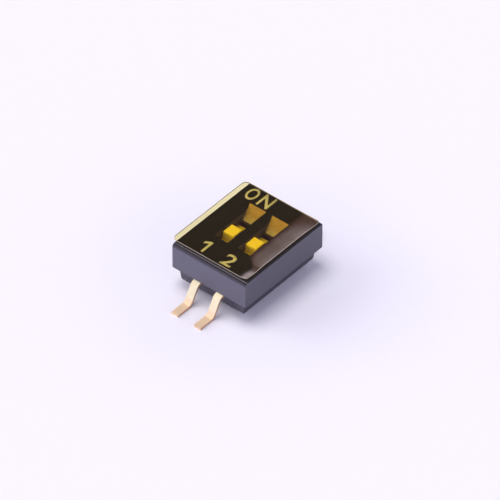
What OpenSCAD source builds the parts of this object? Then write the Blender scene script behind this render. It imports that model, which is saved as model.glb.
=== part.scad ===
// Surface-mount slide DIP switch with two poles at half pitch.
// X runs along the row of poles, Y along the slider travel from OFF to ON, Z up from the board.
// The origin is on the board plane, in the middle of the four solder feet. Lengths are in mm.

/* [Poles] */
// Distance between the poles, and between neighbouring terminals
pitch = 1.27; // [1.2:0.01:1.4]
// Travel of each slider from OFF to ON
travel = 0.65; // [0.6:0.05:0.8]
// Middle of the slider travel, on the ON side of the middle of the body
travel_mid = 0.1; // [0:0.05:0.15]

/* [Cover] */
// Width of the cover across the poles, at its lower rim
cover_w = 4.16; // [3.8:0.01:4.6]
// Length of the cover along the slider travel, at its lower rim
cover_l = 5.2; // [5:0.05:6]
// Height of the cover above the parting plane
cover_h = 1.32; // [1.2:0.02:1.5]
// Inward draft of the cover walls from rim to top
cover_draft = 0.02; // [0.01:0.01:0.08]
// Rounding of the top edge on the numbered side
cover_front_r = 0.22; // [0.1:0.02:0.3]
// Rounding of the other three top edges
cover_edge_r = 0.04; // [0.02:0.01:0.1]
// Rounding of the upright corners of the cover and the base
corner_r = 0.1; // [0.06:0.02:0.3]
// Thickness of the roof over the slider channels
roof_t = 0.44; // [0.36:0.02:0.5]

/* [Ramps] */
// Length of the tool ramp that leads down into each slot
ramp_l = 0.8; // [0.5:0.05:0.9]
// Distance of the flared side of the ramp from the middle of the slot, at its shallow outer end
ramp_flare_out = 0.56; // [0.4:0.02:0.6]
// Distance of the flared side of the ramp from the middle of the slot, where it meets the slot
ramp_flare_in = 0.27; // [0.2:0.01:0.3]
// Depth of the ramp where it meets the slot
ramp_d = 0.28; // [0.1:0.02:0.28]

/* [Base] */
// Height of the base below the parting plane
base_h = 0.88; // [0.8:0.02:1.1]
// Inward step from the cover rim to the base, at each end of the row
base_step_x = 0.26; // [0.1:0.02:0.34]
// Inward step from the cover rim to the base, on the terminal sides
base_step_y = 0.2; // [0.1:0.02:0.3]
// Inward draft of the base walls from the parting plane down
base_draft = 0.05; // [0.01:0.01:0.08]
// Rounding of the lower edges of the base
base_edge_r = 0.3; // [0.15:0.05:0.4]
// Gap between the underside of the base and the board
stand_off = 0.1; // [0.05:0.01:0.2]
// Radius of the four pegs that hold the cover on the base
peg_r = 0.18; // [0.12:0.01:0.22]
// Height of the pegs above the parting plane
peg_h = 0.5; // [0.3:0.05:0.7]
// Distance of the pegs from the middle, along the travel
peg_y = 1.6; // [1.2:0.05:1.9]
// Radius of the core holes that held the terminals in the mould
core_hole_r = 0.14; // [0.08:0.01:0.18]

/* [Sliders] */
// Width of the knob across the slot
knob_w = 0.64; // [0.46:0.02:0.66]
// Length of the knob along the slot
knob_l = 0.64; // [0.5:0.02:0.7]
// Draft of the knob from foot to top
knob_draft = 0.02; // [0:0.01:0.04]
// Rounding of the top edges of the knob
knob_edge_r = 0.05; // [0.02:0.01:0.1]
// Depth of the top of the knob below the top of the cover
knob_drop = 0.02; // [0.01:0.01:0.1]
// Width of the slider body inside its channel
slider_w = 0.92; // [0.84:0.02:0.96]
// Length of the slider body along the channel
slider_l = 1.66; // [1.5:0.02:1.7]
// Thickness of the slider body over the contact
slider_t = 0.34; // [0.3:0.02:0.5]
// Thickness of the two side skirts of the slider
skirt_t = 0.12; // [0.08:0.01:0.15]
// Radius of the detent notches in the flanks of the slider
notch_r = 0.09; // [0.07:0.01:0.12]
// Depth of the detent notches
notch_d = 0.03; // [0.02:0.01:0.05]
// Radius of the detent ribs in the channel walls
detent_r = 0.06; // [0.04:0.01:0.07]

/* [Contacts] */
// Thickness of the spring strip of the moving contact
spring_t = 0.06; // [0.04:0.01:0.08]
// Width of the moving contact
spring_w = 0.5; // [0.36:0.02:0.56]
// Distance of each contact point from the middle of the slider
contact_reach = 0.5; // [0.4:0.02:0.54]
// Half length of the flat that rests on the fixed contact
contact_flat = 0.05; // [0.03:0.01:0.07]
// Rise and run of the upturned tip of each arm
tip_rise = 0.12; // [0.08:0.01:0.14]
// Width of the slit between the twin arms at each end
slit_w = 0.12; // [0.06:0.02:0.16]
// Length of the slit, from the tip inwards
slit_l = 0.32; // [0.2:0.02:0.4]
// Radius of the pip that carries the moving contact
pip_r = 0.1; // [0.07:0.01:0.12]
// Insulating gap between the two fixed contacts of a pole
contact_gap = 0.35; // [0.25:0.05:0.4]

/* [Terminals] */
// Overall length over the solder feet
span = 8.2; // [7.8:0.1:9]
// Thickness of the terminal strip
lead_t = 0.12; // [0.1:0.01:0.2]
// Width of the terminal outside the base
lead_w = 0.38; // [0.3:0.02:0.5]
// Width of the fixed contact inside the base
pad_w = 0.6; // [0.5:0.02:0.7]
// Distance of the outer end of the fixed contact from the middle of the body
pad_end = 1.95; // [1.7:0.05:2.05]
// Straight shoulder of the terminal outside the cover rim
shoulder_l = 0.12; // [0:0.02:0.3]
// Outward run of the sloping leg between shoulder and foot
leg_run = 0.5; // [0.2:0.05:0.7]
// Bend radius at the middle of the strip
bend_r = 0.3; // [0.12:0.01:0.34]

/* [Seal film] */
// Thickness of the film with its adhesive
film_t = 0.07; // [0.03:0.01:0.1]
// Inset of the film from the rounded front edge of the top face
film_front_in = 0.01; // [0:0.01:0.1]
// Inset of the film from the rear edge of the top face
film_rear_in = 0.04; // [0:0.01:0.1]
// Inset of the film from the edge of the top face beside the last pole
film_side_in = 0.13; // [0.05:0.01:0.25]
// Overhang of the film beside the first pole
film_over = 0.2; // [0:0.01:0.3]
// Radius of the film's corners beside the first pole
film_corner_r = 0.25; // [0.1:0.01:0.4]
// Radius of the film's corners beside the last pole
film_lift_corner_r = 0.1; // [0.05:0.01:0.3]
// Width of the strip that has lifted beside the last pole
film_lift_w = 0.86; // [0.6:0.02:1]
// Height of the lifted edge over the rest of the film
film_lift = 0.1; // [0.02:0.01:0.15]
// Bend radius of the crease where the lifted strip begins
film_crease_r = 1.5; // [0.5:0.1:2]

/* [Clearances] */
// Running gap between the slider and the channel walls
run_gap = 0.04; // [0.02:0.01:0.06]
// Running gap above and below the slider
lift_gap = 0.03; // [0.02:0.01:0.05]
// Gap that is left at each end of the channel
stop_gap = 0.04; // [0.02:0.01:0.1]
// Gap between the knob and the sides of its slot
slot_gap = 0.04; // [0.02:0.01:0.1]
// Gap in front of the knob at OFF
slot_front_gap = 0.45; // [0.05:0.05:0.5]
// Gap behind the knob at ON
slot_rear_gap = 0.03; // [0.02:0.01:0.2]
// Gap between the contact arms and the fixed contacts
touch_gap = 0.01; // [0.005:0.005:0.02]
// Gap round each peg in its hole in the cover, and round the pip in the moving contact
peg_gap = 0.02; // [0.01:0.01:0.04]

/* [Hidden] */
$fn = 48;

// Steps of each rounded corner in an outline
ARC_STEPS = 6;
// How far a cutter runs past the face that it cuts, and a rib into the wall that carries it
PAST = 0.1;
// Share of the running gap that each detent rib stands into
RIB_SHARE = 0.75;

// Heights above the board
parting_z = stand_off + base_h;
top_z = parting_z + cover_h;
ceiling_z = top_z - roof_t;
slider_top_z = ceiling_z - lift_gap;
slider_under_z = slider_top_z - slider_t;

// Lengths along the travel, with the slider at OFF
slider_y = travel_mid - travel / 2;
channel_y0 = slider_y - slider_l / 2 - stop_gap;
channel_y1 = slider_y + travel + slider_l / 2 + stop_gap;
slot_y0 = slider_y - knob_l / 2 - slot_front_gap;
slot_y1 = slider_y + travel + knob_l / 2 + slot_rear_gap;
split_y = travel_mid + contact_reach;

// Widths across the row
channel_w = slider_w + 2 * run_gap;
slot_w = knob_w + 2 * slot_gap;
base_w = cover_w - 2 * base_step_x;
base_l = cover_l - 2 * base_step_y;
peg_x = (pitch / 2 + channel_w / 2 + base_w / 2) / 2;

// Place of a pole along the row, for pole 1 or 2
function pole_x(pole) = (pole - 1.5) * pitch;

// Points on an arc about [x, y] from angle a0 to a1
function arc(x, y, r, a0, a1) =
    [for (i = [0:ARC_STEPS]) let (a = a0 + (a1 - a0) * i / ARC_STEPS) [x + r * cos(a), y + r * sin(a)]];

// Upright section of a moulded block: w wide at z = 0, drafted inwards, and rounded at the top
// by r_low at the lower end of its axis and by r_high at the upper end
function block_section(w, h, draft, r_low, r_high) = let (x = w / 2 - draft) concat(
    [[-w / 2, 0], [w / 2, 0]],
    arc(x - r_high, h - r_high, r_high, 0, 90),
    arc(-x + r_low, h - r_low, r_low, 90, 180));

// Centre and angles of the bend at b, on the way from a to c, for a middle radius r:
// [centre, start angle, end angle, turn], where turn is 1 to the left and -1 to the right
function bend(a, b, c, r) = let (
    u = (b - a) / norm(b - a),
    v = (c - b) / norm(c - b),
    turn = sign(u[0] * v[1] - u[1] * v[0]),
    angle = acos(u * v),
    start = b - u * r * tan(angle / 2),
    centre = start + turn * r * [-u[1], u[0]],
    from = atan2(start[1] - centre[1], start[0] - centre[0]))
    [centre, from, from + turn * angle, turn];

// One side of a strip of thickness t that follows path with bends of middle radius r;
// side is 1 for the left edge and -1 for the right edge
function strip_side(path, t, r, side) = let (
    n = len(path),
    first = (path[1] - path[0]) / norm(path[1] - path[0]),
    last = (path[n - 1] - path[n - 2]) / norm(path[n - 1] - path[n - 2]))
    concat(
        [path[0] + side * t / 2 * [-first[1], first[0]]],
        [for (i = [1:n - 2]) let (b = bend(path[i - 1], path[i], path[i + 1], r))
            each arc(b[0][0], b[0][1], r - side * b[3] * t / 2, b[1], b[2])],
        [path[n - 1] + side * t / 2 * [-last[1], last[0]]]);

function reversed(points) = [for (i = [len(points) - 1:-1:0]) points[i]];

function strip_outline(path, t, r) =
    concat(strip_side(path, t, r, 1), reversed(strip_side(path, t, r, -1)));

// A strip whose path is given in the Y-Z plane, w wide along X
module bent_strip(path, t, r, w) {
    rotate([90, 0, 90])
        linear_extrude(w, center = true)
            polygon(strip_outline(path, t, r));
}

// A moulded block that stands on z = 0, drafted and rounded at the top edges and upright corners;
// its front top edge may have a radius of its own
module moulded_block(w, l, h, draft, edge_r, corner_r, front_r = undef) {
    // The corner outline stands clear of the walls, so that it trims the corners alone
    reach = draft / 2 + corner_r / 10;
    intersection() {
        rotate([90, 0, 0])
            linear_extrude(l + 2 * PAST, center = true)
                polygon(block_section(w, h, draft, edge_r, edge_r));
        rotate([90, 0, 90])
            linear_extrude(w + 2 * PAST, center = true)
                polygon(block_section(l, h, draft, is_undef(front_r) ? edge_r : front_r, edge_r));
        translate([0, 0, -PAST])
            linear_extrude(h + 2 * PAST)
                rounded_rect(w + 2 * reach, l + 2 * reach, corner_r + 2 * reach);
    }
}

module rounded_rect(w, l, r) {
    square([w - 2 * r, l], center = true);
    square([w, l - 2 * r], center = true);
    for (x = [-1, 1], y = [-1, 1])
        translate([x * (w / 2 - r), y * (l / 2 - r)])
            circle(r);
}

// A box that is centred in X and runs from y0 to y1 and from z0 to z1
module span_box(w, y0, y1, z0, z1) {
    translate([-w / 2, y0, z0])
        cube([w, y1 - y0, z1 - z0]);
}

module at_pegs() {
    for (x = [-1, 1], y = [-1, 1])
        translate([x * peg_x, y * peg_y, parting_z])
            children();
}

// The ramp that leads a tool from the top face down into the slot, flared on one side
module ramp_cut() {
    intersection() {
        translate([0, slot_y1, ceiling_z])
            linear_extrude(roof_t + PAST)
                polygon([
                    [-ramp_flare_in, -PAST], [slot_w / 2, -PAST], [slot_w / 2, ramp_l],
                    [-ramp_flare_out, ramp_l], [-ramp_flare_in, 0]]);
        rotate([90, 0, 90])
            linear_extrude(2 * ramp_flare_out + 2 * PAST, center = true)
                polygon([
                    [slot_y1 - 2 * PAST, top_z - ramp_d], [slot_y1, top_z - ramp_d],
                    [slot_y1 + ramp_l, top_z], [slot_y1 + ramp_l, top_z + 2 * PAST],
                    [slot_y1 - 2 * PAST, top_z + 2 * PAST]]);
    }
}

// Everything that one pole takes out of the cover
module pole_cut() {
    span_box(channel_w, channel_y0, channel_y1, parting_z - PAST, ceiling_z);
    span_box(slot_w, slot_y0, slot_y1, ceiling_z - PAST, top_z + PAST);
    ramp_cut();
}

// Two upright ribs that the notches of the slider snap over, standing partly into the running gap
module detent_ribs() {
    for (x = [-1, 1])
        translate([x * (channel_w / 2 + detent_r - RIB_SHARE * run_gap), travel_mid, parting_z])
            cylinder(r = detent_r, h = ceiling_z - parting_z + PAST);
}

module cover() {
    color("#26242b")
    union() {
        difference() {
            translate([0, 0, parting_z])
                moulded_block(cover_w, cover_l, cover_h, cover_draft, cover_edge_r, corner_r,
                    cover_front_r);
            for (pole = [1, 2])
                translate([pole_x(pole), 0, 0])
                    pole_cut();
            at_pegs()
                translate([0, 0, -PAST])
                    cylinder(r = peg_r + peg_gap, h = peg_h + peg_gap + PAST);
        }
        for (pole = [1, 2])
            translate([pole_x(pole), 0, 0])
                detent_ribs();
    }
}

// The part of a terminal that lies in the base, raised by h for the cut that it leaves;
// y0 is the inner end of the fixed contact, and sign is -1 at the front and 1 at the rear
module terminal_inside(y0, sign, h) {
    pad_y = [y0, sign * pad_end];
    neck_y = [sign * pad_end, sign * (cover_l / 2)];
    span_box(pad_w, min(pad_y), max(pad_y), parting_z - lead_t, parting_z + h);
    span_box(lead_w, min(neck_y), max(neck_y), parting_z - lead_t, parting_z + h);
}

// Inner end of the fixed contact at each side of the insulating gap
function pad_inner_y(sign) = split_y + sign * contact_gap / 2;

module base() {
    color("#201e24")
    difference() {
        union() {
            translate([0, 0, parting_z])
                mirror([0, 0, 1])
                    moulded_block(base_w, base_l, base_h, base_draft, base_edge_r, corner_r);
            at_pegs()
                translate([0, 0, -base_h / 2])
                    cylinder(r = peg_r, h = peg_h + base_h / 2);
        }
        for (pole = [1, 2], sign = [-1, 1])
            translate([pole_x(pole), 0, 0]) {
                terminal_inside(pad_inner_y(sign), sign, PAST);
                translate([0, sign * (pad_end - pad_w / 2), stand_off - PAST])
                    cylinder(r = core_hole_r, h = base_h - lead_t / 2 + PAST);
            }
    }
}

// Gull-wing terminal: fixed contact, shoulder, sloping leg and solder foot
module terminal(pole, sign) {
    shoulder_y = cover_l / 2 + shoulder_l;
    upper_z = parting_z - lead_t / 2;
    foot_z = lead_t / 2;
    path = [
        [base_l / 2 - lead_t, upper_z], [shoulder_y, upper_z],
        [shoulder_y + leg_run, foot_z], [span / 2, foot_z]];
    color("#e6c98f")
    translate([pole_x(pole), 0, 0]) {
        terminal_inside(pad_inner_y(sign), sign, 0);
        mirror([0, sign < 0 ? 1 : 0, 0])
            bent_strip(path, lead_t, bend_r, lead_w);
    }
}

// Slider at OFF: knob, body and two skirts that straddle the moving contact
module slider(pole) {
    skirt_z = parting_z + lift_gap;
    color("#f4c430")
    translate([pole_x(pole), slider_y, 0])
    difference() {
        union() {
            span_box(slider_w, -slider_l / 2, slider_l / 2, slider_under_z, slider_top_z);
            for (x = [-1, 1])
                translate([x * (slider_w - skirt_t) / 2, 0, 0])
                    span_box(skirt_t, -slider_l / 2, slider_l / 2, skirt_z, slider_under_z + skirt_t);
            translate([0, 0, slider_under_z + slider_t / 2])
                moulded_block(knob_w, knob_l, top_z - knob_drop - slider_under_z - slider_t / 2,
                    knob_draft, knob_edge_r, knob_edge_r);
            translate([0, 0, slider_under_z - spring_t - pip_r / 2])
                cylinder(r = pip_r, h = spring_t + pip_r);
        }
        for (x = [-1, 1], y = [-1, 1])
            translate([x * (slider_w / 2 + notch_r - notch_d), y * travel / 2, skirt_z - PAST])
                cylinder(r = notch_r, h = slider_top_z - skirt_z + 2 * PAST);
    }
}

// Moving contact: a strip under the slider with a twin-armed wiper at each end
module contact_spring(pole) {
    crown_z = slider_under_z - spring_t / 2;
    touch_z = parting_z + touch_gap + spring_t / 2;
    tip_y = contact_reach + contact_flat + tip_rise;
    half_path = [
        [tip_y, touch_z + tip_rise], [contact_reach + contact_flat, touch_z],
        [contact_reach - contact_flat, touch_z], [contact_reach / 2, crown_z]];
    path = concat(half_path, [for (p = reversed(half_path)) [-p[0], p[1]]]);
    color("#c9a25a")
    translate([pole_x(pole), slider_y, 0])
    difference() {
        bent_strip(path, spring_t, spring_t, spring_w);
        translate([0, 0, crown_z - spring_t])
            cylinder(r = pip_r + peg_gap, h = 2 * spring_t);
        for (turn = [0, 180])
            rotate([0, 0, turn])
                span_box(slit_w, tip_y - slit_l, tip_y + PAST, parting_z, crown_z + spring_t);
    }
}

// The film hangs over beside the first pole, and has lifted along its edge beside the last one
module seal_film() {
    left = -cover_w / 2 + cover_draft - film_over;
    right = cover_w / 2 - cover_draft - film_side_in;
    front = -cover_l / 2 + cover_draft + cover_front_r + film_front_in;
    rear = cover_l / 2 - cover_draft - film_rear_in;
    middle_z = top_z + film_t / 2;
    path = [
        [left - PAST, middle_z], [right - film_lift_w, middle_z], [right + PAST, middle_z
            + film_lift * (film_lift_w + PAST) / film_lift_w]];
    color("#c98a1e", 0.6)
    intersection() {
        translate([0, 0, top_z - PAST])
            linear_extrude(film_t + film_lift + 2 * PAST)
                film_outline(left, right, front, rear);
        rotate([90, 0, 0])
            linear_extrude(cover_l, center = true)
                polygon(strip_outline(path, film_t, film_crease_r));
    }
}

// Plan of the film, with rounded corners of one size at each side
module film_outline(left, right, front, rear) {
    far = right - film_lift_corner_r;
    near = left + film_corner_r;
    polygon(concat(
        arc(far, rear - film_lift_corner_r, film_lift_corner_r, 0, 90),
        arc(near, rear - film_corner_r, film_corner_r, 90, 180),
        arc(near, front + film_corner_r, film_corner_r, 180, 270),
        arc(far, front + film_lift_corner_r, film_lift_corner_r, 270, 360)));
}

module slider_1() { slider(1); }
module slider_2() { slider(2); }
module contact_spring_1() { contact_spring(1); }
module contact_spring_2() { contact_spring(2); }
module terminal_front_1() { terminal(1, -1); }
module terminal_front_2() { terminal(2, -1); }
module terminal_rear_1() { terminal(1, 1); }
module terminal_rear_2() { terminal(2, 1); }

cover();
base();
slider_1();
slider_2();
contact_spring_1();
contact_spring_2();
terminal_front_1();
terminal_front_2();
terminal_rear_1();
terminal_rear_2();
seal_film();
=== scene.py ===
"""Dresses a two-pole slide DIP switch: seal film, printed marks, inked ramps, finishes and a pale studio."""
import math

import bmesh
import bpy
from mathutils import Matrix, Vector


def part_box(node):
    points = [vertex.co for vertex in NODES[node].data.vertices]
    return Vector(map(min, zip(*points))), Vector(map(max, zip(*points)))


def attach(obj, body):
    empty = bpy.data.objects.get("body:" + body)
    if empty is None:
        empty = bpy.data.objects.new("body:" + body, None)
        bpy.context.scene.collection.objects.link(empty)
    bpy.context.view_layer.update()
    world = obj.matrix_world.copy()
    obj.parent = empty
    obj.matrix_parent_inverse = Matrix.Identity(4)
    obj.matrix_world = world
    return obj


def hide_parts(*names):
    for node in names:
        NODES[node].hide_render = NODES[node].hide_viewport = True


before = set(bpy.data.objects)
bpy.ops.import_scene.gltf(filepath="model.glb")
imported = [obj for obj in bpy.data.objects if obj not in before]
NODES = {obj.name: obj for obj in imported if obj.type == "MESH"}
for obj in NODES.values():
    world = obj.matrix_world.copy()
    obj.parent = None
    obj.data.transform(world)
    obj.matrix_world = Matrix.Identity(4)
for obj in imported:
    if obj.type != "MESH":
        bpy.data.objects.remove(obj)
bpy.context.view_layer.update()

bl_info = {
    "name": "DIP switch dressing",
    "version": (1, 0, 0),
    "blender": (4, 5, 0),
    "location": "3D View > Sidebar > DIP switch",
    "description": "Makes the film, the marks and the finishes of a small slide DIP switch, and its studio",
    "category": "Object",
}

MM = 0.001

# The side of the square photograph, and where the object's origin lies in it, in pixels
PHOTO_PX = 500
ORIGIN_PX = (247.5, 273.2)

# What lies nearer than this is in the same place
SAME_PLACE = 0.002 * MM
# Width of the rim of the cover's top face, which no slot or ramp reaches
TOP_RIM = 0.5 * MM
# What most of a noise texture lies between
NOISE_SPAN = {"From Min": 0.3, "From Max": 0.7}
# Index of refraction of the moulded plastics, of the film and of its adhesive
PLASTIC_IOR = 1.5
FILM_IOR = 1.6
ADHESIVE_IOR = 1.75


def linear(hex_value):
    """A linear colour with full alpha, from an sRGB hex value."""
    channels = [int(hex_value[i:i + 2], 16) / 255 for i in (1, 3, 5)]
    return (*[c / 12.92 if c <= 0.04045 else ((c + 0.055) / 1.055) ** 2.4 for c in channels], 1.0)


def colour_setting(name, description, hex_value):
    """A colour that the user can change."""
    return bpy.props.FloatVectorProperty(name=name, description=description, size=4, subtype="COLOR",
                                         min=0, max=1, default=linear(hex_value))


def length_setting(name, description, mm):
    """A length that the user can change, given in millimetres."""
    return bpy.props.FloatProperty(name=name, description=description, subtype="DISTANCE", unit="LENGTH",
                                   precision=6, default=mm * MM)


def angle_setting(name, description, degrees):
    """An angle that the user can change, given in degrees."""
    return bpy.props.FloatProperty(name=name, description=description, subtype="ANGLE", unit="ROTATION",
                                   default=math.radians(degrees))


def share_setting(name, description, share):
    """A share from none to all that the user can change."""
    return bpy.props.FloatProperty(name=name, description=description, subtype="FACTOR", min=0, max=1,
                                   default=share)


def number_setting(name, description, value):
    """A plain number, never under 0, that the user can change."""
    return bpy.props.FloatProperty(name=name, description=description, min=0, default=value)


class FilmSettings(bpy.types.PropertyGroup):
    """Shape and tint of the seal film."""
    thickness: length_setting("Thickness", "Thickness of the film with its adhesive", 0.05)
    seat_gap: length_setting("Seat gap", "Height over the top face, which the print takes up", 0.016)
    left_corner: length_setting("Left corners", "Radius of the die-cut corners at the overhang", 0.25)
    right_corner: length_setting("Right corners", "Radius of the die-cut corners at the lifted edge", 0.1)
    pitch: length_setting("Mesh pitch", "Distance between the cuts that divide the sheet", 0.06)
    lifted_width: length_setting("Lifted strip", "Width of the strip that has come off the cover", 0.9)
    curl_width: length_setting("Curl", "Width over which the lifted strip bends up", 0.2)
    lift: length_setting("Lift", "Height of the strip's edge over the sheet, without its edge curl", 0.072)
    edge_width: length_setting("Edge curl", "Width of the edge of the strip that bends up more", 0.24)
    edge_tilt: angle_setting("Edge tilt", "How much steeper the edge of the strip stands", 2.5)
    stuck_from: length_setting("Stuck corner", "How far from the front end the strip is stuck again", 1.4)
    stuck_width: length_setting("Stuck width", "Width of the strip that is stuck at the front end", 0.58)
    stuck_fade: length_setting("Stuck fade", "Length over which the strip comes down to that corner", 0.25)
    rear_fade: length_setting("Rear fade", "Length over which the strip comes down at the rear end", 1.6)
    rear_share: share_setting("Rear height", "Share of its height that the strip keeps at the rear", 0.25)
    dent: length_setting("Dent", "Depth of the dent in the lifted edge near its front corner", 0.034)
    dent_inset: length_setting("Dent inset", "Distance of the dent from the lifted edge", 0.1)
    dent_from: length_setting("Dent place", "Distance of the dent from the front end", 0.55)
    dent_reach: length_setting("Dent reach", "Distance over which the dent dies out", 0.42)
    ripple: length_setting("Ripple", "Height of the soft ripples in the sheet", 0.012)
    ripple_width: length_setting("Ripple width", "Distance between the ripples", 0.9)
    tint: colour_setting("Tint", "What each face of the film lets through", "#FEFAD8")
    cut_edge: colour_setting("Cut edge", "Colour of the cut edge", "#AA9F8A")
    haze: colour_setting("Haze", "Colour of the adhesive where nothing wets it", "#9B615D")
    loose_haze: share_setting("Strip haze", "Share of the haze in each face of the lifted strip", 0.06)
    over_haze: share_setting("Overhang haze", "Share of the haze in each face beside the body", 0.03)
    slot_haze: share_setting("Slot haze", "Share of the haze in each face over the slots", 0.02)


class MarkSettings(bpy.types.PropertyGroup):
    """Sizes and colours of the pad-printed marks and the inked ramps."""
    letter_height: length_setting("Letter height", "Height of the printed capitals", 0.8)
    digit_height: length_setting("Digit height", "Height of the printed numerals", 0.75)
    boldness: number_setting("Boldness", "Gain of a stroke at each side, as a share of the type size", 0.014)
    thickness: length_setting("Ink thickness", "Thickness of the printed ink", 0.006)
    ink: colour_setting("Ink", "Colour of the printed ink", "#D1CCC2")
    wear: share_setting("Print wear", "How far the black greys the print where it is thinnest", 0.3)
    ramp_rise: length_setting("Ramp ink", "How far the ink in a ramp is raised at the walls", 0.012)
    ramp_rim: length_setting("Ramp rim", "Width over which the ink in a ramp rises to the walls", 0.05)
    fill: colour_setting("Ramp fill", "Colour of the ink in the ramps", "#B68F41")
    fill_wear: share_setting("Ramp wear", "How far the black greys that ink where it is thinnest", 0.35)
    # Painted highlight: the ramp ink is lighter towards the low end of the ramps
    ramp_highlight: colour_setting("Ramp end", "Colour of the thicker ink at the low end of the ramps", "#C9B688")
    ramp_highlight_run: length_setting("Ramp run", "Length over which the ink thickens towards the low end", 0.4)


class FinishSettings(bpy.types.PropertyGroup):
    """Colours of the mouldings and the metal, with painted shade on the sliders and the end walls, and
    painted light in part on the terminals.
    """
    cover: colour_setting("Cover", "Colour of the grained walls of the cover", "#5A5967")
    base: colour_setting("Base", "Colour of the grained walls of the base", "#433F4B")
    # Painted shade: the end walls, which face along X, are darkened to this lightness
    ends: share_setting("End walls", "Lightness of the finer grain of the end walls", 0.6)
    black: colour_setting("Black", "Colour of the plastic itself, where it is polished or wetted", "#28242B")
    grain: length_setting("Grain", "Width of the grain of the mouldings, as it is drawn", 0.07)
    slider: colour_setting("Slider", "Colour of the sliders", "#FFE236")
    # Painted shade: the sliders get darker with depth under the knobs' tops, down in the slots
    painted_shade: share_setting("Painted_shade", "Lightness that the grime in the slots leaves the sliders", 0.4)
    painted_shade_start: length_setting("Grime start", "Depth under a knob's top at which the grime starts", 0.35)
    painted_shade_full: length_setting("Full grime", "Depth under a knob's top at which the grime is full", 0.62)
    plating: colour_setting("Plating", "Colour of the plated strip", "#E4DCB7")
    # Partly painted light: the colour at the feet, and the heights over which it turns into the plating,
    # balance the legs' brightness against the feet's
    foot_tone_and_light: colour_setting("Thin plating", "Colour of the strip at its feet", "#EBD1A9")
    foot_top: length_setting("Thin height", "Height over the board up to which the plating is thin", 0.15)
    leg_start: length_setting("Full height", "Height over the board at which the plating is full", 0.45)
    bare: colour_setting("Bare edge", "Colour of the cut edges of the strip", "#BC9A7C")


class StageSettings(bpy.types.PropertyGroup):
    """Floor, light and camera."""
    floor: colour_setting("Floor", "Colour of the paper floor", "#F0F2F8")
    floor_width: length_setting("Floor width", "Width of the paper floor", 4000)
    key: colour_setting("Key colour", "Colour of the high light", "#FFF8FA")
    key_power: number_setting("Key strength", "Strength of the high light", 1.6)
    key_azimuth: angle_setting("Key azimuth", "Where the high light stands, from +X round to +Y", 190)
    key_elevation: angle_setting("Key elevation", "Height of the high light", 78)
    key_spread: angle_setting("Key spread", "Angle that the high light fills", 34)
    side: colour_setting("Side colour", "Colour of the low side light", "#FFF6F2")
    side_power: number_setting("Side strength", "Strength of the low side light", 0.95)
    side_azimuth: angle_setting("Side azimuth", "Where the low light stands, from +X round to +Y", 205)
    side_elevation: angle_setting("Side elevation", "Height of the low side light", 28)
    side_spread: angle_setting("Side spread", "Angle that the low side light fills", 40)
    wall: colour_setting("Wall colour", "Colour of the pale walls round the stage", "#EAE3FF")
    wall_power: number_setting("Wall strength", "Brightness of the pale walls", 1.8)
    wall_top: angle_setting("Wall top", "Height at which the pale walls have half their brightness", 33)
    wall_fade: angle_setting("Wall fade", "Half the height over which the pale walls darken", 8)
    room_power: number_setting("Room strength", "Brightness of the dark room over the walls", 0.08)
    azimuth: angle_setting("Camera azimuth", "Direction of the view, from +Y round to -X", 40.13)
    elevation: angle_setting("Camera elevation", "Height of the camera above the board plane", 42.0)
    field: length_setting("Field", "Width of the view in the plane of the object", 21.65)
    distance: length_setting("Distance", "Distance of the camera from the object", 300)


def span(values):
    """The lowest and the highest of some values."""
    ordered = sorted(values)
    return ordered[0], ordered[-1]


def deselect_all():
    """Leaves nothing selected, in object mode."""
    if bpy.context.object and bpy.context.object.mode != "OBJECT":
        bpy.ops.object.mode_set(mode="OBJECT")
    bpy.ops.object.select_all(action="DESELECT")


def activate(piece):
    """Selects one object alone and makes it the active one."""
    deselect_all()
    piece.select_set(True)
    bpy.context.view_layer.objects.active = piece


def edit(piece):
    """Opens one object in edit mode, with nothing selected."""
    activate(piece)
    bpy.ops.object.mode_set(mode="EDIT")
    bpy.ops.mesh.select_all(action="DESELECT")


def pick(piece, kind, test):
    """Selects the vertices, edges or faces of the piece in edit mode that pass a test, and counts them."""
    bpy.ops.mesh.select_mode(type={"verts": "VERT", "edges": "EDGE", "faces": "FACE"}[kind])
    bpy.ops.mesh.select_all(action="DESELECT")
    shape = bmesh.from_edit_mesh(piece.data)
    found = [part for part in getattr(shape, kind) if test(part)]
    for part in found:
        part.select_set(True)
    shape.select_flush_mode()
    bmesh.update_edit_mesh(piece.data)
    return len(found)


def merge_all(distance):
    """Merges what lies nearer than this in the mesh in edit mode, and leaves everything selected."""
    bpy.ops.mesh.select_all(action="SELECT")
    bpy.ops.mesh.remove_doubles(threshold=distance)


def add_plane(place, width, length):
    """A flat rectangle with its middle at a place, and its size in its mesh."""
    deselect_all()
    bpy.ops.mesh.primitive_plane_add(size=1, location=place)
    plane = bpy.context.object
    plane.scale = (width, length, 1)
    bpy.ops.object.transform_apply(location=True, rotation=True, scale=True)
    return plane


def apply_modifier(piece, kind, **settings):
    """Adds a modifier with its settings and applies it."""
    activate(piece)
    modifier = piece.modifiers.new(kind.title(), kind)
    for name, value in settings.items():
        setattr(modifier, name, value)
    bpy.ops.object.modifier_apply(modifier=modifier.name)


def paint(piece, material):
    """Gives a piece, or a CAD node, its one material."""
    piece.data.materials.clear()
    piece.data.materials.append(material)


def settle(piece, name, body):
    """Names a finished piece, bakes its place into its mesh and puts it on its body."""
    activate(piece)
    bpy.ops.object.transform_apply(location=True, rotation=True, scale=True)
    if not piece.data.polygons:
        raise RuntimeError(f"{name} came out without faces")
    piece.name = name
    piece.data.name = name
    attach(piece, body)


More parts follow.
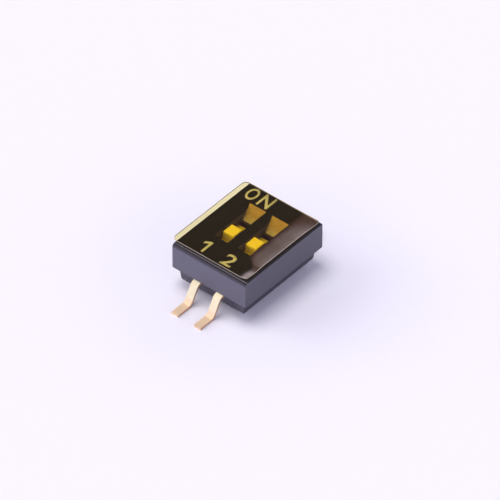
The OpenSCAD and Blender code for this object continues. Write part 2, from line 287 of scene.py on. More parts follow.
def add_node(tree, kind, inputs=None, **settings):
    """Adds a shader node with its settings. An input is a value, an output, or a node that feeds it."""
    made = tree.nodes.new(kind)
    for name, value in settings.items():
        setattr(made, name, value)
    named = {socket.identifier: socket for socket in made.inputs}
    for key, value in (inputs or {}).items():
        socket = named.get(key) or made.inputs[key]
        if isinstance(value, bpy.types.Node):
            value = next(output for output in value.outputs if output.enabled)
        if isinstance(value, bpy.types.NodeSocket):
            tree.links.new(value, socket)
        else:
            socket.default_value = value
    return made


def new_material(name):
    """An empty node material, with its tree and the object's own coordinates, which its patterns read."""
    material = bpy.data.materials.new(name)
    material.use_nodes = True
    material.node_tree.nodes.clear()
    place = add_node(material.node_tree, "ShaderNodeTexCoord")
    return material, material.node_tree, place.outputs


def per_metre(mm):
    """Scale of a texture whose features are this many millimetres wide."""
    return 1 / (mm * MM)


def shade(rgba, factor):
    """The same colour, lighter or darker."""
    return (*[min(1.0, c * factor) for c in rgba[:3]], 1.0)


def moulded_skin(tree, place, colour, grain, roughness, mottle, depth):
    """What mouldings share: a colour with faint flow marks, a satin roughness, and an even grain as bump."""
    flow = add_node(tree, "ShaderNodeTexNoise", {"Vector": place["Object"], "Scale": per_metre(1.3),
                                                 "Detail": 3.0, "Distortion": 0.6})
    # The real grain is too fine to show in the render, so it is drawn as coarse as it needs to show
    pits = add_node(tree, "ShaderNodeTexNoise", {"Vector": place["Object"], "Scale": 1 / grain,
                                                 "Detail": 2.0})
    skin = add_node(tree, "ShaderNodeMix", {"Factor_Float": flow, "A_Color": shade(colour, 1 - mottle),
                                            "B_Color": shade(colour, 1 + mottle)}, data_type="RGBA")
    gloss = add_node(tree, "ShaderNodeMapRange", {"Value": flow, **NOISE_SPAN, "To Min": roughness - 0.04,
                                                  "To Max": roughness + 0.04})
    bump = add_node(tree, "ShaderNodeBump", {"Height": pits, "Strength": 1.0, "Distance": depth * MM})
    return skin, gloss, bump


def slider_plastic(name, finish, top_z):
    """Yellow PBT, injection moulded: a soft satin, nearly even. Painted shade darkens it with depth under
    the knob's top, down in the slot."""
    material, tree, place = new_material(name)
    skin, gloss, bump = moulded_skin(tree, place, finish.slider, finish.grain, roughness=0.42, mottle=0.03,
                                     depth=0.001)
    # Painted shade: darker with depth under the knob's top, down in the slot
    spot = add_node(tree, "ShaderNodeSeparateXYZ", {"Vector": place["Object"]})
    unshaded = add_node(tree, "ShaderNodeMapRange", {"Value": spot.outputs["Z"],
                                                  "From Min": top_z - finish.painted_shade_full,
                                                  "From Max": top_z - finish.painted_shade_start})
    shaded_skin = add_node(tree, "ShaderNodeMix", {"Factor_Float": unshaded, "B_Color": skin,
                                             "A_Color": shade(finish.slider, finish.painted_shade)},
                     data_type="RGBA")
    shader = add_node(tree, "ShaderNodeBsdfPrincipled", {"Base Color": shaded_skin, "Roughness": gloss,
                                                         "Normal": bump, "IOR": PLASTIC_IOR})
    add_node(tree, "ShaderNodeOutputMaterial", {"Surface": shader})
    return material


def black_plastic(name, finish, colour, covered=None):
    """Black glass-filled LCP. The walls come from a spark-eroded tool: their grain scatters the light to a
    cool grey. The end walls, which face along X, are darkened with painted shade. The top and its rim come
    from a polished one, so they stay black and mirror the dark room. Where adhesive wets the top, the gloss
    is gone too."""
    material, tree, place = new_material(name)
    skin, gloss, bump = moulded_skin(tree, place, colour, finish.grain, roughness=0.45, mottle=0.1,
                                     depth=0.004)
    facing = add_node(tree, "ShaderNodeSeparateXYZ", {"Vector": place["Normal"]})
    # Painted shade: walls that face along X are mixed towards black
    sideways = add_node(tree, "ShaderNodeMath", {0: facing.outputs["X"]}, operation="ABSOLUTE")
    ends = add_node(tree, "ShaderNodeMapRange", {"Value": sideways, "From Min": 0.5, "From Max": 0.9,
                                                 "To Min": 0.0, "To Max": 1 - finish.ends})
    walls = add_node(tree, "ShaderNodeMix", {"Factor_Float": ends, "A_Color": skin,
                                             "B_Color": linear("#000000")}, data_type="RGBA")
    polished = add_node(tree, "ShaderNodeMapRange", {"Value": facing.outputs["Z"], "From Min": 0.15,
                                                     "From Max": 0.5}, interpolation_type="SMOOTHSTEP")
    body = add_node(tree, "ShaderNodeMix", {"Factor_Float": polished, "A_Color": walls,
                                            "B_Color": finish.black}, data_type="RGBA")
    satin = add_node(tree, "ShaderNodeMix", {"Factor_Float": polished, "A_Float": gloss, "B_Float": 0.16},
                     data_type="FLOAT")
    relief = add_node(tree, "ShaderNodeMath", {0: 1.0, 1: polished}, operation="SUBTRACT")
    tree.links.new(relief.outputs[0], bump.inputs["Strength"])
    shader = add_node(tree, "ShaderNodeBsdfPrincipled", {"Base Color": body, "Roughness": satin,
                                                         "Normal": bump, "IOR": PLASTIC_IOR})
    if covered:
        wetted = add_node(tree, "ShaderNodeBsdfDiffuse", {"Color": finish.black})
        shader = add_node(tree, "ShaderNodeMixShader", {0: covered(tree, place), 1: shader, 2: wetted})
    add_node(tree, "ShaderNodeOutputMaterial", {"Surface": shader})
    return material


def plated_strip(name, finish, plating):
    """Phosphor bronze strip, stamped and flash plated: a matt metal with rolling lines along the strip. Its
    colour changes with height from the feet to the legs: partly the feet's warmer tone, partly painted light
    that balances the brightness of the legs against the feet. Its sheared edges are duller."""
    material, tree, place = new_material(name)
    # The real rolling lines are too fine to show in the render, so they are drawn as coarse as they need to
    # show
    line_width, line_length = per_metre(0.05), per_metre(1.2)
    along = add_node(tree, "ShaderNodeMapping", {"Vector": place["Object"],
                                                 "Scale": (line_width, line_length, line_length)})
    lines = add_node(tree, "ShaderNodeTexNoise", {"Vector": along, "Scale": 1.0, "Detail": 3.0})
    stain = add_node(tree, "ShaderNodeTexNoise", {"Vector": place["Object"], "Scale": per_metre(0.5),
                                                  "Detail": 2.0})
    facing = add_node(tree, "ShaderNodeSeparateXYZ", {"Vector": place["Normal"]})
    sideways = add_node(tree, "ShaderNodeMath", {0: facing.outputs["X"]}, operation="ABSOLUTE")
    sheared = add_node(tree, "ShaderNodeMapRange", {"Value": sideways, "From Min": 0.6, "From Max": 0.9})
    # Partly painted light: the colour changes with height from the feet to the legs
    spot = add_node(tree, "ShaderNodeSeparateXYZ", {"Vector": place["Object"]})
    raised = add_node(tree, "ShaderNodeMapRange", {"Value": spot.outputs["Z"],
                                                   "From Min": finish.foot_top,
                                                   "From Max": finish.leg_start},
                      interpolation_type="SMOOTHSTEP")
    height_tone = add_node(tree, "ShaderNodeMix", {"Factor_Float": raised, "A_Color": finish.foot_tone_and_light,
                                            "B_Color": plating}, data_type="RGBA")
    tone = add_node(tree, "ShaderNodeMapRange", {"Value": stain, "To Min": 0.86, "To Max": 1.1})
    toned = add_node(tree, "ShaderNodeVectorMath", {0: height_tone, "Scale": tone}, operation="SCALE")
    skin = add_node(tree, "ShaderNodeMix", {"Factor_Float": sheared, "A_Color": toned,
                                            "B_Color": finish.bare}, data_type="RGBA")
    gloss = add_node(tree, "ShaderNodeMapRange", {"Value": lines, **NOISE_SPAN, "To Min": 0.44,
                                                  "To Max": 0.56})
    bump = add_node(tree, "ShaderNodeBump", {"Height": lines, "Strength": 0.5, "Distance": 0.003 * MM})
    shader = add_node(tree, "ShaderNodeBsdfPrincipled", {"Base Color": skin, "Metallic": 0.3,
                                                         "Roughness": gloss, "Normal": bump})
    add_node(tree, "ShaderNodeOutputMaterial", {"Surface": shader})
    return material


def printing_ink(name, colour, wear, end=None):
    """Pad-printed or filled ink: matt, a little uneven, and thinner in places, so that the black under it
    greys it. Where it is given an end, its colour changes towards that end, a painted highlight: the end's
    Y, the length of the change, its colour."""
    material, tree, place = new_material(name)
    worn = shade(colour, 0.45)
    if end:
        end_y, run, highlight_colour = end
        # Painted highlight: the colour changes towards the end
        spot = add_node(tree, "ShaderNodeSeparateXYZ", {"Vector": place["Object"]})
        past = add_node(tree, "ShaderNodeMapRange", {"Value": spot.outputs["Y"], "From Min": end_y,
                                                     "From Max": end_y + run},
                        interpolation_type="SMOOTHSTEP")
        colour = add_node(tree, "ShaderNodeMix", {"Factor_Float": past, "A_Color": highlight_colour,
                                                  "B_Color": colour}, data_type="RGBA")
    cover = add_node(tree, "ShaderNodeTexNoise", {"Vector": place["Object"], "Scale": per_metre(0.16),
                                                  "Detail": 3.0})
    thin = add_node(tree, "ShaderNodeMapRange", {"Value": cover, "From Min": 0.35, "From Max": 0.65,
                                                 "To Min": 0.0, "To Max": wear})
    skin = add_node(tree, "ShaderNodeMix", {"Factor_Float": thin, "A_Color": colour, "B_Color": worn},
                    data_type="RGBA")
    bump = add_node(tree, "ShaderNodeBump", {"Height": cover, "Distance": 0.003 * MM})
    shader = add_node(tree, "ShaderNodeBsdfPrincipled", {"Base Color": skin, "Roughness": 0.6,
                                                         "Normal": bump})
    add_node(tree, "ShaderNodeOutputMaterial", {"Surface": shader})
    return material


def stuck_border(film, low, high):
    """The border of the lifted strip near the front end: the Y where it leaves the crease, the Y half way on
    to the end where it has swung out, and its X at both."""
    crease_x = high.x - film.lifted_width
    return low.y + film.stuck_from, low.y + film.stuck_from / 2, crease_x, crease_x + film.stuck_width


def lifted_share(tree, place, border):
    """Where the film has come off the cover: 1 beyond a wavering border that runs along the crease and
    swings out to the edge near the front."""
    start_y, end_y, start_x, end_x = border
    wave_width, wave_height = 0.7, 0.08 * MM
    stuck, loose = -0.04 * MM, 0.18 * MM
    spot = add_node(tree, "ShaderNodeSeparateXYZ", {"Vector": place["Object"]})
    wobble = add_node(tree, "ShaderNodeTexNoise", {"Vector": place["Object"], "Scale": per_metre(wave_width),
                                                   "Detail": 2.0})
    line = add_node(tree, "ShaderNodeMapRange", {"Value": spot.outputs["Y"], "From Min": start_y,
                                                 "From Max": end_y, "To Min": start_x, "To Max": end_x},
                    interpolation_type="SMOOTHSTEP")
    inside = add_node(tree, "ShaderNodeMath", {0: spot.outputs["X"], 1: line}, operation="SUBTRACT")
    wavering = add_node(tree, "ShaderNodeMath", {0: wobble, 1: wave_height, 2: inside},
                        operation="MULTIPLY_ADD")
    return add_node(tree, "ShaderNodeMapRange", {"Value": wavering, "From Min": stuck, "From Max": loose},
                    interpolation_type="SMOOTHSTEP")


def wetted_share(low, border):
    """A function that draws, in a material's tree, where the film's adhesive wets the top of the cover."""
    def draw(tree, place):
        spot = add_node(tree, "ShaderNodeSeparateXYZ", {"Vector": place["Object"]})
        lifted = lifted_share(tree, place, border)
        on_top = add_node(tree, "ShaderNodeMath", {0: spot.outputs["Z"], 1: low.z - SAME_PLACE},
                          operation="GREATER_THAN")
        behind = add_node(tree, "ShaderNodeMath", {0: spot.outputs["Y"], 1: low.y},
                          operation="GREATER_THAN")
        under = add_node(tree, "ShaderNodeMath", {0: on_top, 1: behind}, operation="MULTIPLY")
        return add_node(tree, "ShaderNodeMath", {0: under, 1: lifted}, operation="SUBTRACT", use_clamp=True)
    return draw


def slot_box(cover):
    """The slot and the ramp of the last pole, in the plane of the top: the middle and the half of their
    length along Y, and the middle and the half of the slot's width along X."""
    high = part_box("cover")[1]
    inner = [v.co for v in cover.data.vertices if v.co.z > high.z - SAME_PLACE
             and 0 < v.co.x < high.x - TOP_RIM and abs(v.co.y) < high.y - TOP_RIM]
    front, rear = span(co.y for co in inner)
    knob_low, knob_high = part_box("slider_2")
    pole_x = (knob_low.x + knob_high.x) / 2
    return (front + rear) / 2, (rear - front) / 2, pole_x, max(co.x for co in inner) - pole_x


def over_slots(tree, spot, slot):
    """Where the sheet spans a slot, of either pole."""
    mid_y, half_y, pole_x, half_x = slot
    side = add_node(tree, "ShaderNodeMath", {0: spot.outputs["X"]}, operation="ABSOLUTE")
    across = add_node(tree, "ShaderNodeMath", {0: side, 1: pole_x, 2: half_x}, operation="COMPARE")
    along = add_node(tree, "ShaderNodeMath", {0: spot.outputs["Y"], 1: mid_y, 2: half_y},
                     operation="COMPARE")
    return add_node(tree, "ShaderNodeMath", {0: across, 1: along}, operation="MULTIPLY")


def amber_film(name, film, border, body_x, slot):
    """Polyimide tape, slit and die cut: a clear amber sheet with a smooth top. Stuck down it shows the
    black below it. Where it has lifted it reflects from both faces. Its adhesive is hazy there, beside the
    body and over the slots, where nothing wets it."""
    material, tree, place = new_material(name)
    lifted = lifted_share(tree, place, border)
    facing = add_node(tree, "ShaderNodeSeparateXYZ", {"Vector": place["Normal"]})
    upright = add_node(tree, "ShaderNodeMath", {0: facing.outputs["Z"]}, operation="ABSOLUTE")
    cut = add_node(tree, "ShaderNodeMapRange", {"Value": upright, "From Min": 0.5, "From Max": 0.3})
    spot = add_node(tree, "ShaderNodeSeparateXYZ", {"Vector": place["Object"]})
    over = add_node(tree, "ShaderNodeMapRange", {"Value": spot.outputs["X"], "From Max": body_x,
                                                 "From Min": body_x + 0.04 * MM, "To Max": film.over_haze})
    spanned = add_node(tree, "ShaderNodeMath", {0: over_slots(tree, spot, slot), 1: film.slot_haze, 2: over},
                       operation="MULTIPLY_ADD")
    milky = add_node(tree, "ShaderNodeMath", {0: lifted, 1: film.loose_haze, 2: spanned},
                     operation="MULTIPLY_ADD")
    clear = add_node(tree, "ShaderNodeBsdfTransparent", {"Color": film.tint})
    milk = add_node(tree, "ShaderNodeBsdfDiffuse", {"Color": film.haze})
    body = add_node(tree, "ShaderNodeMixShader", {0: milky, 1: clear, 2: milk})
    gloss = add_node(tree, "ShaderNodeBsdfGlossy", {"Color": linear("#FFFFFF"), "Roughness": 0.12})
    # Seen from inside, a face gets the inverse IOR, because light crosses the thin sheet unbent. The top
    # face always shines; the underside, with its denser adhesive, only where it has lifted
    side = add_node(tree, "ShaderNodeNewGeometry")
    outside = add_node(tree, "ShaderNodeFresnel", {"IOR": FILM_IOR})
    inside = add_node(tree, "ShaderNodeFresnel", {"IOR": 1 / ADHESIVE_IOR})
    under = add_node(tree, "ShaderNodeMath", {0: inside, 1: lifted}, operation="MULTIPLY")
    shine = add_node(tree, "ShaderNodeMix", {"Factor_Float": side.outputs["Backfacing"],
                                             "A_Float": outside, "B_Float": under}, data_type="FLOAT")
    face = add_node(tree, "ShaderNodeMixShader", {0: shine, 1: body, 2: gloss})
    pale = add_node(tree, "ShaderNodeBsdfDiffuse", {"Color": film.cut_edge})
    whole = add_node(tree, "ShaderNodeMixShader", {0: cut, 1: face, 2: pale})
    add_node(tree, "ShaderNodeOutputMaterial", {"Surface": whole})
    return material


def floor_paper(name, colour):
    """Seamless background paper: matt and very slightly fibrous."""
    material, tree, place = new_material(name)
    fibre = add_node(tree, "ShaderNodeTexNoise", {"Vector": place["Object"], "Scale": per_metre(0.4),
                                                  "Detail": 4.0})
    skin = add_node(tree, "ShaderNodeMix", {"Factor_Float": fibre, "A_Color": shade(colour, 0.99),
                                            "B_Color": shade(colour, 1.01)}, data_type="RGBA")
    shader = add_node(tree, "ShaderNodeBsdfPrincipled", {"Base Color": skin, "Roughness": 0.9,
                                                         "Specular IOR Level": 0.2})
    add_node(tree, "ShaderNodeOutputMaterial", {"Surface": shader})
    return material


class SWITCH_OT_film(bpy.types.Operator):
    """Make the amber seal film from a sheet that is cut, divided, creased and thickened"""
    bl_idname = "switch.film"
    bl_label = "Seal film"

    CORNER_SEGMENTS = 6
    # In how many small folds the strip and its edge curl up
    BENDS = 6
    EDGE_BENDS = 3
    # Within how many mesh pitches of its place the dent takes hold of the sheet
    DENT_GRIP = 1.5
    # Edges that bend less than this are shaded smooth
    SMOOTH_ANGLE = math.radians(40)

    def execute(self, context):
        film = context.scene.switch_film
        low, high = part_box("seal_film")
        sheet_z = low.z + film.seat_gap + film.thickness
        border = stuck_border(film, low, high)
        sheet = self.cut(film, low, high, sheet_z)
        self.curl(sheet, film, high.x, sheet_z)
        self.press(sheet, film, low, high, sheet_z, border)
        ripples = bpy.data.textures.new("film_ripple", "CLOUDS")
        ripples.noise_scale = film.ripple_width
        apply_modifier(sheet, "DISPLACE", texture=ripples, texture_coords="LOCAL", direction="Z",
                       strength=film.ripple, mid_level=0.5)
        apply_modifier(sheet, "SOLIDIFY", thickness=film.thickness, offset=-1)
        activate(sheet)
        bpy.ops.object.shade_smooth_by_angle(angle=self.SMOOTH_ANGLE)
        slot = slot_box(NODES["cover"])
        paint(sheet, amber_film("polyimide_film", film, border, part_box("cover")[0].x, slot))
        settle(sheet, "film_sheet", "housing")
        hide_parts("seal_film")
        return {"FINISHED"}

    def cut(self, film, low, high, sheet_z):
        """A flat sheet with die-cut corners, open in edit mode, divided evenly both ways."""
        size = high - low
        sheet = add_plane(((low.x + high.x) / 2, (low.y + high.y) / 2, sheet_z), size.x, size.y)
        edit(sheet)
        for side, radius in ((low.x, film.left_corner), (high.x, film.right_corner)):
            pick(sheet, "verts", lambda v: abs(v.co.x - side) < SAME_PLACE)
            bpy.ops.mesh.bevel(offset=radius, segments=self.CORNER_SEGMENTS, affect="VERTICES")
        for axis in (0, 1):
            steps = round(size[axis] / film.pitch)
            for step in range(1, steps):
                point = Vector(low)
                point[axis] += size[axis] * step / steps
                bpy.ops.mesh.select_all(action="SELECT")
                bpy.ops.mesh.bisect(plane_co=point, plane_no=Vector((axis == 0, axis == 1, 0)))
        return sheet

    def curl(self, sheet, film, edge_x, sheet_z):
        """Bends the strip beside the last pole up in small folds, and its edge a little more."""
        turn = film.lift / (self.BENDS * (film.lifted_width - film.curl_width / 2))
        folds = [(edge_x - film.lifted_width + film.curl_width * bend / (self.BENDS - 1), turn)
                 for bend in range(self.BENDS)]
        folds += [(edge_x - film.edge_width * (1 - bend / self.EDGE_BENDS), film.edge_tilt / self.EDGE_BENDS)
                  for bend in range(self.EDGE_BENDS)]
        fold_x, fold_z, tilt = folds[0][0], sheet_z, 0
        for next_x, turn in folds:
            fold_z += (next_x - fold_x) * math.tan(tilt)
            fold_x = next_x
            pick(sheet, "verts", lambda v: v.co.x > fold_x)
            bpy.ops.transform.rotate(value=turn, orient_axis="Y", orient_type="GLOBAL",
                                     center_override=(fold_x, 0, fold_z))
            tilt += turn
        shape = bmesh.from_edit_mesh(sheet.data)
        if max(v.co.z for v in shape.verts) < sheet_z:
            raise RuntimeError("the strip of the film folded down instead of up")

    def press(self, sheet, film, low, high, sheet_z, border):
        """Sticks the strip's front corner down again, lowers its rear end and dents its edge."""
        start_y, end_y, start_x, end_x = border
        pick(sheet, "verts", lambda v: v.co.y < start_y and v.co.x - start_x
             < (end_x - start_x) * min(1, (start_y - v.co.y) / (start_y - end_y)))
        self.flatten(sheet_z, 0, film.stuck_fade)
        pick(sheet, "verts", lambda v: v.co.y > high.y - film.pitch)
        self.flatten(sheet_z, film.rear_share, film.rear_fade)
        dent_at = Vector((high.x - film.dent_inset, low.y + film.dent_from))
        pick(sheet, "verts", lambda v: (v.co.xy - dent_at).length < self.DENT_GRIP * film.pitch)
        bpy.ops.transform.translate(value=(0, 0, -film.dent), use_proportional_edit=True,
                                    proportional_edit_falloff="SMOOTH", proportional_size=film.dent_reach)
        bpy.ops.object.mode_set(mode="OBJECT")

    @staticmethod
    def flatten(sheet_z, share, reach):
        """Brings what is selected down to a share of its height over the sheet, with a soft surround."""
        bpy.ops.transform.resize(value=(1, 1, share), center_override=(0, 0, sheet_z),
                                 use_proportional_edit=True, proportional_edit_falloff="SMOOTH",
                                 proportional_size=reach)


class SWITCH_OT_marks(bpy.types.Operator):
    """Print ON and the numerals of the poles on the top face"""
    bl_idname = "switch.marks"
    bl_label = "Printed marks"

    # Each mark, the middle of its place on the top face and its width, in mm
    MARKS = (
        ("O", -1.475, 2.1, 0.55),
        ("N", -0.69, 2.1, 0.6),
        ("2", 0.53, -1.82, 0.58),
    )
    # The numeral 1, in mm: the middle and the width of its stem, the height of the flag's root at the top of
    # the stem, and the flag's reach and drop
    ONE_AT = (-0.77, -1.78)
    ONE_STEM = 0.11
    ONE_ROOT = 0.143
    ONE_FLAG = (0.24, 0.14)
    # How near the points of a mark are merged, in mm
    MERGE = 0.0005

    def execute(self, context):
        marks = context.scene.switch_marks
        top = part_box("cover")[1].z
        ink = printing_ink("pad_printed_ink", marks.ink, marks.wear)
        for letter, x, y, width in self.MARKS:
            height = marks.digit_height if letter.isdigit() else marks.letter_height
            piece = self.glyph(context, letter, marks.boldness)
            left, right = span(v.co.x for v in piece.data.vertices)
            bottom, rise = span(v.co.y for v in piece.data.vertices)
            piece.scale = (width * MM / (right - left), height / (rise - bottom), 1)
            piece.location = (x * MM - (left + right) / 2 * piece.scale.x,
                              y * MM - (bottom + rise) / 2 * piece.scale.y, top)
            bpy.ops.object.transform_apply(location=True, rotation=True, scale=True)
            self.lay_ink(piece, f"print_{letter}", marks, ink)
        self.lay_ink(self.numeral_one(marks.digit_height, top), "print_1", marks, ink)
        return {"FINISHED"}

    @staticmethod
    def glyph(context, letter, boldness):
        """One flat character of the type, of size 1."""
        deselect_all()
        bpy.ops.object.text_add(location=(0, 0, 0))
        text = context.object
        text.data.body = letter
        text.data.size = 1
        text.data.resolution_u = 6
        text.data.offset = boldness
        bpy.ops.object.convert(target="MESH")
        return context.object

    def numeral_one(self, height, top):
        """A stem whose upper left edge is drawn out and down into a flag."""
        x, y = self.ONE_AT
        piece = add_plane((x * MM, y * MM, top), self.ONE_STEM * MM, height)
        edit(piece)
        root_y = y * MM + height / 2 - self.ONE_ROOT * MM
        bpy.ops.mesh.select_all(action="SELECT")
        bpy.ops.mesh.bisect(plane_co=(0, root_y, 0), plane_no=(0, 1, 0))
        found = pick(piece, "edges", lambda e: all(v.co.x < x * MM and v.co.y > root_y - SAME_PLACE
                                                   for v in e.verts))
        if found != 1:
            raise RuntimeError("the numeral 1 has no edge for its flag")
        reach, drop = self.ONE_FLAG
        bpy.ops.mesh.extrude_region_move(TRANSFORM_OT_translate={"value": (-reach * MM, -drop * MM, 0)})
        bpy.ops.object.mode_set(mode="OBJECT")
        return piece

    def lay_ink(self, piece, name, marks, ink):
        """Gives a flat mark its thickness and its ink, and puts it on the cover."""
        edit(piece)
        merge_all(self.MERGE * MM)
        bpy.ops.mesh.normals_make_consistent(inside=False)
        bpy.ops.object.mode_set(mode="OBJECT")
        apply_modifier(piece, "SOLIDIFY", thickness=marks.thickness, offset=1)
        paint(piece, ink)
        settle(piece, name, "housing")


class SWITCH_OT_ramps(bpy.types.Operator):
    """Fill the tool ramps of the cover with ink, raised a little at the walls"""
    bl_idname = "switch.ramps"
    bl_label = "Inked ramps"

    # How far up a ramp's floor faces, from its steepest to its flattest
    FLOOR_UP = (0.8, 0.99)
    # How far it faces the numerals at least, and the ends at most
    FLOOR_FORWARD = 0.1
    FLOOR_SIDEWAYS = 0.01
    # Gap between the ink and the floor, and thickness of the ink, as shares of its rise at the walls
    GAP = 1 / 4
    SKIN = 1 / 5
    # How near the points of the cover's mesh are merged, in mm
    MERGE = 0.00001
    # Faces that meet at a smaller angle than this are one face
    FLAT = math.radians(1)

    def execute(self, context):
        marks = context.scene.switch_marks
        fills = [self.fill(context, marks, side) for side in (-1, 1)]
        low_end = min(v.co.y for v in fills[0].data.vertices)
        # The ramp ink is lighter towards its low end: a painted highlight
        ink = printing_ink("ramp_fill_ink", marks.fill, marks.fill_wear,
                           (low_end, marks.ramp_highlight_run, marks.ramp_highlight))
        for pole, piece in enumerate(fills, start=1):
            paint(piece, ink)
            settle(piece, f"ramp_ink_{pole}", "housing")
        return {"FINISHED"}

    def fill(self, context, marks, side):
        """A skin over the floor of the ramp at this side of the middle, raised along its rim."""
        piece = bpy.data.objects.new("ramp", NODES["cover"].data.copy())
        context.collection.objects.link(piece)
        edit(piece)
        merge_all(self.MERGE * MM)
        if not pick(piece, "faces", lambda face: self.is_floor(face, side)):
            raise RuntimeError("the cover has no ramp floor at one of its poles")
        bpy.ops.mesh.select_all(action="INVERT")
        bpy.ops.mesh.delete(type="FACE")
        bpy.ops.mesh.select_all(action="SELECT")
        bpy.ops.mesh.dissolve_limited(angle_limit=self.FLAT)
        bpy.ops.mesh.select_all(action="SELECT")
        bpy.ops.mesh.inset(thickness=marks.ramp_rim, depth=0)
        pick(piece, "verts", lambda v: v.is_boundary)
        bpy.ops.transform.translate(value=(0, 0, marks.ramp_rise))
        bpy.ops.mesh.select_all(action="SELECT")
        bpy.ops.transform.translate(value=(0, 0, marks.ramp_rise * self.GAP))
        bpy.ops.object.mode_set(mode="OBJECT")
        apply_modifier(piece, "SOLIDIFY", thickness=marks.ramp_rise * self.SKIN, offset=-1)
        return piece

    def is_floor(self, face, side):
        """Whether a face of the cover is the sloping floor of the ramp at this side of the middle."""
        steepest, flattest = self.FLOOR_UP
        middle = face.calc_center_median()
        slopes = steepest < face.normal.z < flattest and face.normal.y < -self.FLOOR_FORWARD
        return (slopes and abs(face.normal.x) < self.FLOOR_SIDEWAYS and side * middle.x > 0
                and abs(middle.y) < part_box("cover")[1].y - TOP_RIM)


class SWITCH_OT_mouldings(bpy.types.Operator):
    """Give the cover, the base and the sliders their moulded plastics"""
    bl_idname = "switch.mouldings"
    bl_label = "Mouldings"

    def execute(self, context):
        finish, film = context.scene.switch_finish, context.scene.switch_film
        low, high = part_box("seal_film")
        covered = wetted_share(low, stuck_border(film, low, high))
        paint(NODES["cover"], black_plastic("black_lcp_cover", finish, finish.cover, covered))
        paint(NODES["base"], black_plastic("black_lcp_base", finish, finish.base))
        yellow = slider_plastic("yellow_pbt_slider", finish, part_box("slider_1")[1].z)
        for pole in (1, 2):
            paint(NODES[f"slider_{pole}"], yellow)
        return {"FINISHED"}


class SWITCH_OT_metals(bpy.types.Operator):
    """Give the terminals and the moving contacts their plating"""
    bl_idname = "switch.metals"
    bl_label = "Metal parts"

    def execute(self, context):
        finish = context.scene.switch_finish
        strip = plated_strip("plated_bronze_terminal", finish, finish.plating)
        spring = plated_strip("gold_plated_contact", finish, finish.foot_tone_and_light)
        for pole in (1, 2):
            paint(NODES[f"contact_spring_{pole}"], spring)
            for side in ("front", "rear"):
                paint(NODES[f"terminal_{side}_{pole}"], strip)
        return {"FINISHED"}


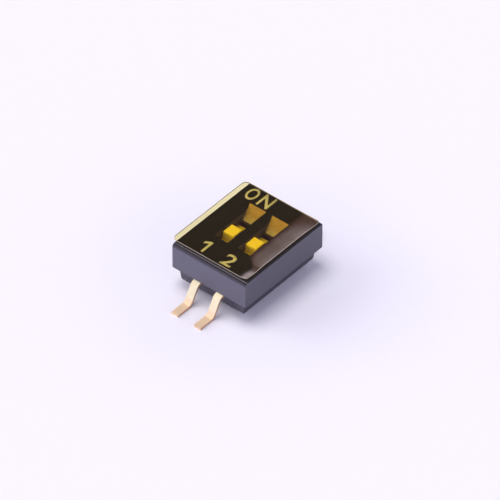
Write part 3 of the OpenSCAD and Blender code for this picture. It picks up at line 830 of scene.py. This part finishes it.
class SWITCH_OT_stage(bpy.types.Operator):
    """Lay the paper floor, hang the soft lights and set up the camera"""
    bl_idname = "switch.stage"
    bl_label = "Stage"

    # Distance of a light's marker from the origin, in metres, which its light doesn't depend on
    MARKER = 0.1

    def execute(self, context):
        stage = context.scene.switch_stage
        context.scene.view_settings.view_transform = "Standard"
        floor = add_plane((0, 0, 0), stage.floor_width, stage.floor_width)
        floor.name = "floor"
        paint(floor, floor_paper("background_paper", stage.floor))
        self.lamp("key_light", stage.key_azimuth, stage.key_elevation, stage.key_spread, stage.key,
                  stage.key_power)
        self.lamp("side_light", stage.side_azimuth, stage.side_elevation, stage.side_spread, stage.side,
                  stage.side_power)
        self.room(context, stage)
        self.camera(context, stage)
        return {"FINISHED"}

    def lamp(self, name, azimuth, elevation, spread, colour, power):
        """A soft light so far off that it has no distance, whose spread is the angle that it fills."""
        towards = Vector((math.cos(azimuth) * math.cos(elevation), math.sin(azimuth) * math.cos(elevation),
                          math.sin(elevation)))
        bpy.ops.object.light_add(type="SUN", location=towards * self.MARKER,
                                 rotation=towards.to_track_quat("Z", "Y").to_euler())
        light = bpy.context.object
        light.name = name
        light.data.angle = spread
        light.data.energy = power
        light.data.color = colour[:3]

    @staticmethod
    def room(context, stage):
        """Pale walls all round the stage, up to a height, and a dark room over them for the reflections."""
        world = bpy.data.worlds.new("room")
        context.scene.world = world
        world.use_nodes = True
        tree = world.node_tree
        tree.nodes.clear()
        towards = add_node(tree, "ShaderNodeTexCoord")
        height = add_node(tree, "ShaderNodeSeparateXYZ", {"Vector": towards.outputs["Generated"]})
        pale_to = math.sin(stage.wall_top - stage.wall_fade)
        dark_from = math.sin(stage.wall_top + stage.wall_fade)
        share = add_node(tree, "ShaderNodeMapRange", {"Value": height.outputs["Z"], "From Min": pale_to,
                                                      "From Max": dark_from},
                         interpolation_type="SMOOTHSTEP")
        wall = add_node(tree, "ShaderNodeBackground", {"Color": stage.wall, "Strength": stage.wall_power})
        dark = add_node(tree, "ShaderNodeBackground", {"Color": stage.wall, "Strength": stage.room_power})
        lit = add_node(tree, "ShaderNodeMixShader", {0: share, 1: wall, 2: dark})
        rays = add_node(tree, "ShaderNodeLightPath")
        backdrop = add_node(tree, "ShaderNodeBackground", {"Color": stage.floor, "Strength": 1.0})
        seen = add_node(tree, "ShaderNodeMixShader", {0: rays.outputs["Is Camera Ray"], 1: lit, 2: backdrop})
        add_node(tree, "ShaderNodeOutputWorld", {"Surface": seen})

    @staticmethod
    def camera(context, stage):
        """A long lens at the photograph's angle, aimed so that the origin falls on its pixel."""
        a, e = stage.azimuth, stage.elevation
        right = Vector((math.cos(a), math.sin(a), 0))
        up = Vector((-math.sin(a) * math.sin(e), math.cos(a) * math.sin(e), math.cos(e)))
        back = right.cross(up)
        per_px = stage.field / PHOTO_PX
        target = (right * (PHOTO_PX / 2 - ORIGIN_PX[0]) + up * (ORIGIN_PX[1] - PHOTO_PX / 2)) * per_px
        bpy.ops.object.camera_add(location=target + back * stage.distance,
                                  rotation=back.to_track_quat("Z", "Y").to_euler())
        camera = context.object
        camera.name = "camera"
        camera.data.lens = camera.data.sensor_width * stage.distance / stage.field
        camera.data.clip_start = 0.01
        camera.data.clip_end = 10
        context.scene.camera = camera


class SWITCH_PT_panel(bpy.types.Panel):
    """Lists the steps that dress the switch"""
    bl_idname = "SWITCH_PT_panel"
    bl_label = "DIP switch"
    bl_space_type = "VIEW_3D"
    bl_region_type = "UI"
    bl_category = "DIP switch"

    def draw(self, context):
        for operator in OPERATORS:
            self.layout.operator(operator.bl_idname)


OPERATORS = (SWITCH_OT_stage, SWITCH_OT_mouldings, SWITCH_OT_metals, SWITCH_OT_marks, SWITCH_OT_ramps,
             SWITCH_OT_film)
SETTINGS = {"switch_film": FilmSettings, "switch_marks": MarkSettings, "switch_finish": FinishSettings,
            "switch_stage": StageSettings}


def register():
    """Registers the settings, the operators and the panel."""
    for name, group in SETTINGS.items():
        bpy.utils.register_class(group)
        setattr(bpy.types.Scene, name, bpy.props.PointerProperty(type=group))
    for kind in (*OPERATORS, SWITCH_PT_panel):
        bpy.utils.register_class(kind)


def unregister():
    """Takes them all out again."""
    for kind in (SWITCH_PT_panel, *reversed(OPERATORS)):
        bpy.utils.unregister_class(kind)
    for name, group in SETTINGS.items():
        delattr(bpy.types.Scene, name)
        bpy.utils.unregister_class(group)


def main():
    """Dresses the whole switch."""
    register()
    bpy.ops.switch.stage()
    bpy.ops.switch.mouldings()
    bpy.ops.switch.metals()
    bpy.ops.switch.marks()
    bpy.ops.switch.ramps()
    bpy.ops.switch.film()


if __name__ == "__main__":
    main()
